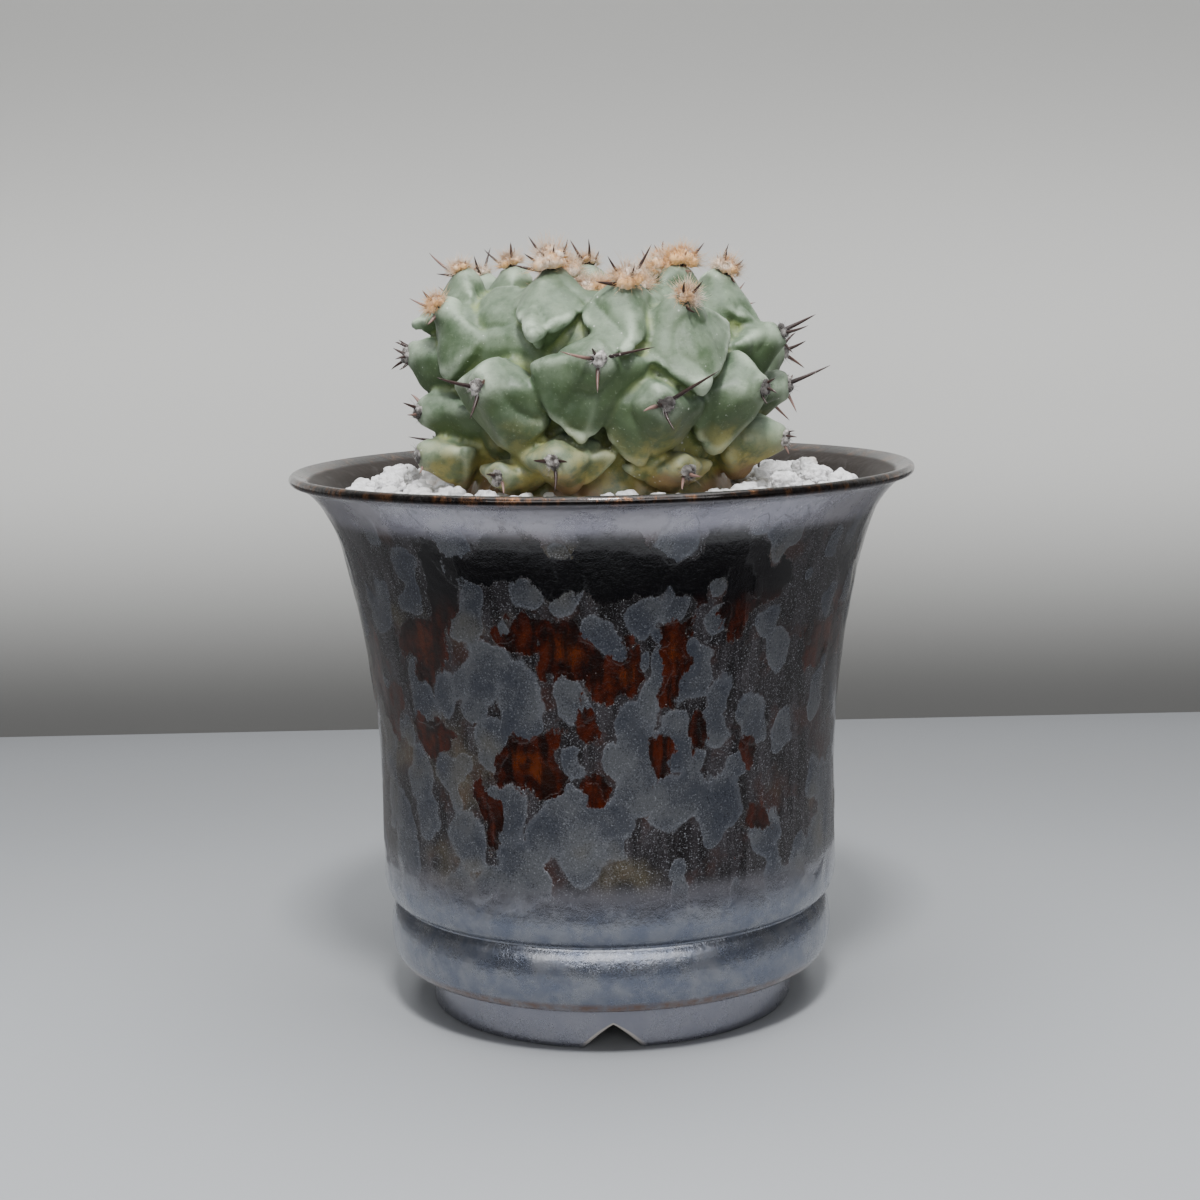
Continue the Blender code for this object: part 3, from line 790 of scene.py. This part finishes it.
stem = {
    "radius": 38.7 * mm,
    "height": 44.5 * mm,
    "base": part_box("pumice_dressing")[1][2] - 0.25 * mm,
    "neck": 26 * mm,
    "rootDepth": 12 * mm,
    "coreInset": 9.2 * mm,
    "crownLevel": 0.90,
    "halfWidth": 11.2,       # of one tubercle, in millimetres
    "above": 6.4,
    "below": 12.4,
    "seat": 1.8,             # flat under the areole
    # depth behind the tip, then share of full width, rise and drop
    "growth": [(0, 0, 0, 0), (0.5, 0.09, 0.18, 0.07), (1.5, 0.26, 0.42, 0.22), (2.8, 0.47, 0.66, 0.42),
               (4.0, 0.66, 0.83, 0.62), (5.2, 0.84, 0.95, 0.82), (6.2, 0.98, 1.0, 0.97), (6.9, 1.0, 1.0, 1.0),
               (7.8, 0.97, 0.95, 0.97), (9.6, 0.87, 0.86, 0.86), (12.5, 0.74, 0.75, 0.72),
               (16.0, 0.6, 0.6, 0.55)],
    "sides": 40,             # points round one tubercle
    "roundings": 3,          # smoothing passes that take off the voxel steps
    "softenings": 26,        # passes for the soft copy that creases are measured from
    "voxel": 0.53 * mm,
    "warp": 1.0 * mm,
    "crisp": 1.35,           # how far ridges and creases are drawn out again after smoothing
    "ochreZone": (0.1155, 0.1035),
    "corkZone": (0.1060, 0.1020),
}

# degrees round from +X, level from soil to crown, millimetres beyond the outline, size,
# then how tall it is, how far it runs on below the areole, and how far its lower corner
# lies to the right, in millimetres
frontTubercles = [
    (-160, 0.21, 0, 0.7, 0.8, 0.9, 0), (-124, 0.14, 0, 0.72, 0.6, 0.7, 0),
    (-104, 0.21, 0, 0.9, 0.7, 0.65, 1), (-63, 0.15, 0, 0.8, 0.6, 0.6, 0),
    (-22, 0.25, 0, 0.85, 0.9, 0.8, -2), (-163, 0.39, -3.2, 0.95, 1, 1, 2), (-124, 0.51, 0, 1, 0.9, 1, 3),
    (-73, 0.43, 0, 1, 1, 0.95, -2), (-40, 0.48, 0, 1, 1, 0.95, -4), (-8, 0.46, -3, 0.8, 0.8, 0.8, -1),
    (-171, 0.62, -2.2, 0.9, 0.8, 0.9, 1), (-90, 0.62, 0, 1.05, 0.9, 1.1, -4),
    (-158, 0.82, -2.4, 0.95, 0.9, 0.8, 3), (-17, 0.69, -2.4, 0.9, 0.9, 0.75, -2),
    (-62, 0.84, 0, 0.95, 0.9, 1.35, -1), (-79, 0.91, 0, 0.75, 1, 1.7, -3),
    (-176, 0.96, 4.5, 0.75, 0.8, 1.3, 1), (-14, 0.94, 0, 0.75, 0.9, 1.3, -2),
    (-30, 0.975, 0, 0.62, 0.9, 1.3, 1), (-115, 0.975, 1, 0.8, 0.9, 2, 4),
]
backRows = [
    (0.20, 32, 152, 4, 0.90), (0.40, 30, 146, 4, 1.00), (0.60, 20, 162, 5, 0.95),
    (0.78, 38, 142, 4, 0.90), (0.92, 24, 150, 4, 0.72), (0.99, 28, 172, 3, 0.50),
]


def polar(radius, degrees, z):
    angle = math.radians(degrees)
    return Vector((radius * math.cos(angle), radius * math.sin(angle), z))


def outline(level):
    widest = 0.54
    span = 1.001 - widest if level > widest else widest + 0.08
    share = min(1.0, abs(level - widest) / span)
    return stem["radius"] * (1 - share ** 2.6) ** (1 / 2.6)


def pointsUp(level):
    step = 0.02
    run = outline(min(1, level + step)) - outline(level - step)
    steep = math.degrees(math.atan2(-run, 2 * step * stem["height"]))
    return max(-8.0, min(80.0, 0.85 * steep + 4))


def allTubercles():
    rows = list(frontTubercles)
    picker = random.Random(5)
    for level, first, last, count, size in backRows:
        for i in range(count):
            degrees = first + (last - first) * i / (count - 1) + picker.uniform(-4, 4)
            rows.append((degrees, level + picker.uniform(-0.015, 0.015), 0.0, size, 1.0, 1.1,
                         picker.uniform(-3, 3)))
    made = []
    for degrees, level, reach, size, tall, drop, lean in rows:
        tip = polar(outline(level) + reach * mm, degrees, stem["base"] + level * stem["height"])
        tilt = pointsUp(level)
        out = polar(math.cos(math.radians(tilt)), degrees, math.sin(math.radians(tilt)))
        side = Vector((0, 0, 1)).cross(out).normalized()
        made.append({"tip": tip, "out": out, "side": side, "up": out.cross(side), "size": size,
                     "above": stem["above"] * size * tall, "below": stem["below"] * size * drop,
                     "lean": lean})
    return made


tubercles = allTubercles()


def tubercleRings(one, sides):
    # facets run out from the areole to a diamond edge, then the flank tucks back in
    size = one["size"]
    rings = []
    long = size * (1 + 0.35 * abs(one["out"].x))    # those at the sides stand out further
    for depth, wide, high, low in stem["growth"]:
        half = stem["seat"] + wide * (stem["halfWidth"] * size - stem["seat"])
        above = stem["seat"] + high * (one["above"] - stem["seat"])
        below = stem["seat"] + low * (one["below"] - stem["seat"])
        power = 1.1 + 0.6 * min(1.0, wide)
        ring = []
        for i in range(sides):
            angle = 2 * math.pi * i / sides
            c, s = math.cos(angle), math.sin(angle)
            across = math.copysign(abs(c) ** power, c) * half
            rise = math.copysign(abs(s) ** (power if s > 0 else power * 0.8), s) * (above if s > 0 else below)
            across += one["lean"] * low * max(0.0, -rise / one["below"])
            offset = (one["side"] * across + one["up"] * rise) * mm
            ring.append(one["tip"] - one["out"] * depth * long * mm + offset)
        rings.append(ring)
    return rings


def closedLoft(verts, faces, rings):
    base = len(verts)
    for ring in rings:
        verts.extend(ring)
    wrapRings(faces, base, len(rings), len(rings[0]), True)


def neighbourMean(values, edges, counts):
    total = np.zeros_like(values)
    np.add.at(total, edges[:, 0], values[edges[:, 1]])
    np.add.at(total, edges[:, 1], values[edges[:, 0]])
    return total / counts


def makeStem():
    verts, faces = [], []
    for one in tubercles:
        closedLoft(verts, faces, tubercleRings(one, stem["sides"]))
    soilTop = stem["base"] - 4 * mm
    core = [(0.42 * stem["neck"], soilTop - stem["rootDepth"]),
            (0.80 * stem["neck"], soilTop - 0.65 * stem["rootDepth"]),
            (stem["neck"], soilTop), (stem["neck"], stem["base"] + 0.5 * mm)]
    for i in range(1, 17):
        level = 0.10 + (stem["crownLevel"] - 0.10) * i / 16
        core.append((outline(level) - stem["coreInset"], stem["base"] + level * stem["height"]))
    core.append((4 * mm, stem["base"] + (stem["crownLevel"] - 0.02) * stem["height"]))
    rings = [[polar(r, 360 * i / 64, z) for i in range(64)] for r, z in reversed(core)]
    closedLoft(verts, faces, rings)
    rough = newMesh("roughStem", verts, faces)
    for vert in rough.data.vertices:
        p = vert.co
        wander = drift(p * 75) * stem["warp"]
        small = drift(p * 210) * 0.28 * mm
        vert.co = p + wander + small
    remesh = rough.modifiers.new("skin", "REMESH")
    remesh.mode = "VOXEL"
    remesh.voxel_size = stem["voxel"]
    graph = bpy.context.evaluated_depsgraph_get()
    mesh = bpy.data.meshes.new_from_object(rough.evaluated_get(graph), depsgraph=graph)
    bpy.data.objects.remove(rough)
    skin = bpy.data.objects.new("cactusStem", mesh)
    mesh.name = "cactusStem"
    bpy.context.scene.collection.objects.link(skin)

    places = readRows(mesh.vertices, "co", 3)
    edges = readRows(mesh.edges, "vertices", 2, np.int64)
    counts = np.bincount(edges.ravel(), minlength=len(places)).astype(float)[:, None]
    for step in range(stem["roundings"]):
        places += 0.5 * (neighbourMean(places, edges, counts) - places)
    mesh.vertices.foreach_set("co", places.ravel())
    mesh.update()
    normals = readRows(mesh.vertices, "normal", 3)
    soft = places.copy()
    for step in range(stem["softenings"]):
        soft += 0.6 * (neighbourMean(soft, edges, counts) - soft)
    valley = ((soft - places) * normals).sum(1) / mm        # above 0 in creases, below 0 on ridges
    places -= normals * (stem["crisp"] * np.clip(valley, -0.55, 0.9) * mm)[:, None]
    nearTip = np.full(len(places), 1.0)
    for one in tubercles:
        nearTip = np.minimum(nearTip, np.linalg.norm(places - np.array(one["tip"]), axis=1))
    for index in range(len(places)):
        p = Vector(places[index])
        calm = min(1.0, max(0.0, nearTip[index] / mm - 2) / 4)
        bent = p + drift(p * 60) * 3 * mm
        dent = (1 - abs(noise.noise(Vector((bent.x * 105, bent.y * 105, bent.z * 75))))) ** 7
        swell = noise.noise(bent * 170 + Vector((4, 2, 9)))
        fine = 0.07 * noise.noise(Vector((p.x * 420, p.y * 420, p.z * 260))) + 0.035 * noise.noise(p * 900)
        places[index] += normals[index] * (calm * (0.25 * swell - 0.80 * dent) + fine) * mm
    mesh.vertices.foreach_set("co", places.ravel())
    storeValues(mesh, {"valley": valley, "nearTip": nearTip / mm})
    mesh.materials.clear()
    mesh.shade_smooth()
    return skin


def skinMaterial():
    made, tree, shader, point = startMaterial("bloomedSkinPaintedLight", 0.55, Sheen_Weight=0.04, Sheen_Roughness=0.5)
    height = partOf(tree, point, "Z")
    facing = partOf(tree, add(tree, "ShaderNodeTexCoord").outputs["Normal"], "Z")
    valley = attribute(tree, "valley")
    nearTip = attribute(tree, "nearTip")
    broad = noiseNode(tree, point, 70.0, 4.0)
    cloudy = noiseNode(tree, point, 260.0, 5.0, 0.6)
    fine = noiseNode(tree, point, 1700.0, 3.0, 0.6)

    green = tinted(tree, broad, 0.35, 0.65, (0.044, 0.080, 0.028), (0.086, 0.136, 0.054))
    # the skin's own pale bloom, laid on more thickly where the skin faces up: painted light from above, with
    # paler tops and darker green undersides
    bloomAndTopLight = plus(tree, facing, times(tree, cloudy, 0.5))
    bloomAndTopLight = remap(tree, bloomAndTopLight, -0.30, 1.05, 0.0, 0.9)
    frosted = tinted(tree, cloudy, 0.3, 0.7, (0.092, 0.140, 0.086), (0.205, 0.270, 0.188))
    color = mixColor(tree, bloomAndTopLight, green, frosted)
    # pale lines along the ridges: partly the skin's own pale margins, partly painted highlight
    ridgeHighlight = times(tree, remap(tree, valley, -0.12, -0.40), remap(tree, cloudy, 0.3, 0.6, 0.25, 0.75))
    color = mixColor(tree, ridgeHighlight, color, (0.48, 0.58, 0.44))
    crease = times(tree, remap(tree, valley, 0.12, 0.4), remap(tree, cloudy, 0.35, 0.65, 0.15, 0.8))
    color = mixColor(tree, crease, color, (0.250, 0.310, 0.100))
    # painted shade: the deepest creases are drawn nearly black
    color = tinted(tree, valley, 0.34, 0.85, color, (0.012, 0.018, 0.005), 0.88)
    # older skin low down turns ochre, then corky at the soil line
    level = plus(tree, height, times(tree, minus(tree, broad, 0.5), 0.02))
    old = times(tree, remap(tree, level, *stem["ochreZone"]), remap(tree, cloudy, 0.36, 0.60, 0.15, 0.9))
    color = mixColor(tree, old, color, (0.420, 0.350, 0.095))
    cork = times(tree, remap(tree, level, *stem["corkZone"]), remap(tree, cloudy, 0.3, 0.5, 0.3, 1.0))
    corkColor = mixColor(tree, cloudy, (0.16, 0.085, 0.035), (0.42, 0.27, 0.13))
    color = mixColor(tree, cork, color, corkColor)
    around = remap(tree, nearTip, 4.2, 2.0)
    color = mixColor(tree, times(tree, around, 0.35), color, (0.085, 0.120, 0.075))
    color = tinted(tree, fine, 0.58, 0.78, color, (0.38, 0.48, 0.32), 0.30)
    color = tinted(tree, fine, 0.42, 0.28, color, (0.035, 0.060, 0.028), 0.30)
    color = dusted(tree, color, point, 800.0, 0.26, (0.78, 0.80, 0.74), 0.6)
    roughness = remap(tree, cloudy, 0.25, 0.75, 0.42, 0.62)
    bumps = plus(tree, times(tree, fine, 0.5), cloudy)
    finishMaterial(tree, shader, color, roughness, bumps, 0.00016, 0.6)
    return made


cactus = makeStem()
cactus.data.materials.append(skinMaterial())
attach(cactus, "root")
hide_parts("cactus_stem")
print("stem:", len(cactus.data.polygons), "faces")


# ---- spines and wool

spineLook = {
    "width": 0.48 * mm,      # half, at the foot
    "sides": 8,
    "rings": 10,
    "length": 7.5,
}

# for areoles seen from the front, where each spine ends: right, up and toward the viewer, in mm
frontSpines = {
    0: [(-0.6, -3.4, 2)], 1: [(-2, 1, 4), (1, -3, 3)], 2: [(0.2, -5.0, 2.5), (-3.4, 0.6, 3), (2.6, 0.2, 3)],
    3: [(2.5, -0.5, 4), (-1, -3, 3)], 4: [(2.6, 0.3, 2), (1.2, -3.1, 1), (2.3, 1.4, 1)],
    5: [(-3.3, 1.8, 2), (-2.6, -0.5, 2), (-2, 3.2, -1)], 6: [(-7.1, 2.1, 3), (-1.5, -5.4, 3), (1.2, 1.6, 3)],
    7: [(9.6, 6.0, 3), (1.7, -4.3, 3), (-3.8, -0.8, 3), (-1.5, 1, 4)],
    8: [(2.0, 1.6, 2), (2.2, -1.0, 3), (0.6, -3, 2)], 9: [(8.5, 3.7, 1), (2.0, -5.1, 1), (1.5, 2.0, -1)],
    10: [(-3.0, 1.6, 1), (-2.6, -0.5, 2), (-2.0, -2.6, 1)],
    11: [(-6.8, 1.6, 3.5), (9.8, 2.0, 3.5), (-0.4, -5.8, 3.0), (-1.2, 2.0, 3)],
    12: [(-5.5, 2.0, 1), (-3.0, 3.4, 1), (-2.2, -3.0, 2)], 13: [(6.6, 3.2, 1), (5.1, 1.2, 2), (2.2, -3.8, 1)],
    14: [(3.0, 3.3, 3), (-0.3, 3.2, 4), (1.6, -2.2, 4)],
    15: [(4.4, 6.8, 0), (-3.5, 4.9, 1), (-5.6, 0.4, 3), (1.2, 3.0, 4)],
    16: [(-6.0, 4.1, 0), (-4.6, 0.1, 2), (1, 2.5, 2)], 17: [(0.5, 4.3, 1), (3.6, 2.5, 1), (1.9, -1.9, 3)],
    18: [(4.3, 4.2, 0), (0.8, 2.6, 3), (1.8, -1.0, 4)],
    19: [(-4.4, 5.9, -1), (-5.2, 2.8, 2), (-2.3, 3.1, 3), (-7.2, 0.8, 1), (1.6, 2.2, 3), (0.4, 4.4, 3),
         (2.8, 5.2, 1), (-0.6, 1.6, 4.5)],
}


# pads on old areoles (False) and young, woolly ones (True): radius in mm, height against radius
pads = {
    False: {"radius": 1.4, "rise": 0.6, "lumps": 5, "threads": 60},
    True: {"radius": 2.2, "rise": 1.25, "lumps": 18, "threads": 460},
}
# radius of the pads on the youngest areoles, in millimetres
woollyTips = {19: 4.0, 18: 3.2, 15: 3.0, 17: 2.6, 16: 2.1, 14: 2.3}


def taperedTube(verts, faces, along, foot, end, width, sides, rings, bow):
    line = end - foot
    axis = line.normalized()
    across = axis.orthogonal().normalized()
    other = axis.cross(across)
    base = len(verts)
    for row in range(rings):
        t = row / (rings - 1)
        centre = foot + line * t + bow * (4 * t * (1 - t))
        radius = width * ((1 - t) ** 0.65 * 0.93 + 0.035) * (1.25 - 0.25 * min(1, t * 9))
        for i in range(sides):
            angle = 2 * math.pi * i / sides
            verts.append(centre + (across * math.cos(angle) + other * math.sin(angle)) * radius)
            along.append(t)
    wrapRings(faces, base, rings, sides)


def anyWay(picker):
    return Vector((picker.uniform(-1, 1), picker.uniform(-1, 1), picker.uniform(-1, 1)))


def spineEnds(number, one, picker):
    if number in frontSpines:
        return [Vector((right, -toward, up)) * mm for right, up, toward in frontSpines[number]]
    reach = spineLook["length"] * mm * (0.6 + 0.4 * one["size"])
    ends = []
    for turn in (-90, 35, 145, 90)[:3 + (number % 3 == 0)]:
        angle = math.radians(turn + picker.uniform(-14, 14))
        lean = picker.uniform(0.55, 0.95)
        way = one["out"] + (one["side"] * math.cos(angle) + one["up"] * math.sin(angle)) * lean
        ends.append(way.normalized() * reach * picker.uniform(0.65, 1.1))
    return ends


def strand(verts, faces, foot, way, length, width, curl):
    # one wool fibre: a thin three-sided thread that curls over
    side = way.orthogonal().normalized()
    other = way.cross(side)
    base = len(verts)
    for row in range(4):
        t = row / 3
        centre = foot + way * length * t + curl * length * t * t
        for i in range(3):
            angle = 2.0944 * i
            verts.append(centre + (side * math.cos(angle) + other * math.sin(angle)) * width * (1 - 0.8 * t))
    wrapRings(faces, base, 4, 3)


def woolPad(verts, faces, centre, out, radius, height, lumps, threads, picker):
    # a cushion of small lumps with fibres standing out of it
    side = out.orthogonal().normalized()
    other = out.cross(side)
    for number in range(lumps):
        turn = 2.4 * number + picker.uniform(-0.4, 0.4)
        away = radius * 0.72 * math.sqrt(number / lumps)
        middle = centre + (side * math.cos(turn) + other * math.sin(turn)) * away
        middle += out * height * 0.45 * (1 - (away / radius) ** 2) * picker.uniform(0.6, 1.2)
        size = radius * (0.62 if lumps < 6 else 0.33) * picker.uniform(0.7, 1.3)
        shapeVerts, shapeFaces = rockShape(picker.randrange(90) + 40, 2)
        base = len(verts)
        for x, y, z in shapeVerts:
            verts.append(middle + (side * x + other * y) * size + out * z * size * 0.85)
        faces.extend([[index + base for index in face] for face in shapeFaces])
    for number in range(threads):
        turn = picker.uniform(0, 2 * math.pi)
        rise = picker.uniform(0.05, 1.0)
        flat = math.sqrt(1 - rise * rise)
        spread = side * math.cos(turn) + other * math.sin(turn)
        foot = centre + spread * radius * flat * 0.9 + out * height * rise * 0.75
        way = (spread * flat + out * rise).normalized()
        curl = anyWay(picker) * 0.8
        strand(verts, faces, foot, way, picker.uniform(0.4, 1.2) * mm * (0.6 + radius / (3 * mm)),
               0.055 * mm, curl)


def spineMaterial():
    made, tree, shader, point = startMaterial("hornySpine", 0.38)
    along = attribute(tree, "along")
    tint = attribute(tree, "tint")
    grainy = noiseNode(tree, point, 1400.0, 4.0, 0.65)
    dark = mixColor(tree, grainy, (0.008, 0.005, 0.006), (0.030, 0.016, 0.015))
    warm = tinted(tree, tint, 0.55, 0.85, (0.038, 0.017, 0.014), (0.30, 0.18, 0.15))
    color = tinted(tree, along, 0.12, 0.62, dark, warm)
    color = tinted(tree, along, 0.82, 1.0, color, (0.045, 0.022, 0.02), 0.7)
    color = dusted(tree, color, point, 1500.0, 0.4, (0.62, 0.58, 0.52), 0.6)
    finishMaterial(tree, shader, color, None, grainy, 0.00008, 0.7)
    return made


def woolMaterial(name, low, high, stain):
    made, tree, shader, point = startMaterial(name, 0.95, Sheen_Weight=0.4, Sheen_Roughness=0.4)
    clumps = noiseNode(tree, point, 420.0, 5.0, 0.65)
    patches = noiseNode(tree, point, 170.0, 3.0)
    color = tinted(tree, clumps, 0.35, 0.68, low, high)
    color = tinted(tree, patches, 0.44, 0.62, color, stain, 0.85)
    flecks = noiseNode(tree, point, 300.0, 4.0)
    color = tinted(tree, flecks, 0.62, 0.74, color, tuple(c * 0.25 for c in stain), 0.7)
    finishMaterial(tree, shader, color, None, clumps, 0.0004, 0.9)
    return made


def makeAreoles(spineFinish, feltFinish):
    for number, one in enumerate(tubercles):
        picker = random.Random(300 + number)
        verts, faces, along, tint = [], [], [], []
        for end in spineEnds(number, one, picker):
            foot = one["tip"] - one["out"] * 0.5 * mm + end.normalized() * 0.2 * mm
            bow = anyWay(picker)
            before = len(verts)
            taperedTube(verts, faces, along, foot, one["tip"] + end,
                        spineLook["width"] * picker.uniform(0.85, 1.15), spineLook["sides"],
                        spineLook["rings"], bow * 0.35 * mm)
            tint += [picker.random()] * (len(verts) - before)
        spines = newMesh(f"spines{number + 1:02d}", verts, faces, spineFinish)
        storeValues(spines.data, {"along": along, "tint": tint})
        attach(spines, "root")
        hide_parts(f"areole_{number + 1:02d}")

        verts, faces = [], []
        young = one["out"].z > 0.55
        pad = pads[young]
        radius = woollyTips.get(number, pad["radius"]) * mm
        woolPad(verts, faces, one["tip"] + one["out"] * 0.35 * mm, one["out"], radius,
                pad["rise"] * radius, pad["lumps"], pad["threads"], picker)
        felt = newMesh(f"felt{number + 1:02d}", verts, faces, feltFinish[young])
        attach(felt, "root")


crown = {
    "lumps": 22,
    "threads": 620,
    # degrees, distance out, radius and height in millimetres
    "tufts": [(-115, 15.5, 3.6, 3.4), (-100, 11.5, 3.2, 3.0), (-132, 12.5, 3.0, 2.8), (-30, 15.0, 3.2, 3.4),
              (-72, 21.0, 3.0, 2.2), (-84, 19.0, 2.4, 2.0), (-62, 17.0, 2.6, 2.4), (60, 5.0, 3.6, 2.6),
              (180, 4.5, 3.6, 2.4), (-70, 6.0, 3.8, 2.4), (120, 11.0, 3.0, 2.4), (20, 11.5, 3.0, 2.4)],
}


def skinHeight(x, y):
    # how high the finished skin stands over a point
    hit, place = cactus.ray_cast(Vector((x, y, 0.2)), Vector((0, 0, -1)))[:2]
    return place.z if hit else stem["base"] + 0.9 * stem["height"]


def makeCrown(finish):
    verts, faces = [], []
    picker = random.Random(77)
    for degrees, away, radius, height in crown["tufts"]:
        place = polar(away * mm, degrees, 0)
        place.z = skinHeight(place.x, place.y) - 0.4 * mm
        lean = Vector((0.25 * math.cos(math.radians(degrees)), 0.25 * math.sin(math.radians(degrees)), 1))
        woolPad(verts, faces, place, lean.normalized(), radius * mm, height * mm, crown["lumps"],
                crown["threads"], picker)
    tuft = newMesh("crownWool", verts, faces, finish)
    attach(tuft, "root")
    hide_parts("crown_wool")


greyFelt = woolMaterial("greyFelt", (0.035, 0.027, 0.024), (0.66, 0.63, 0.60), (0.012, 0.008, 0.007))
creamWool = woolMaterial("creamWool", (0.50, 0.31, 0.17), (0.92, 0.81, 0.70), (0.80, 0.45, 0.16))
makeAreoles(spineMaterial(), {False: greyFelt, True: creamWool})
makeCrown(creamWool)
print("spines and wool ready")
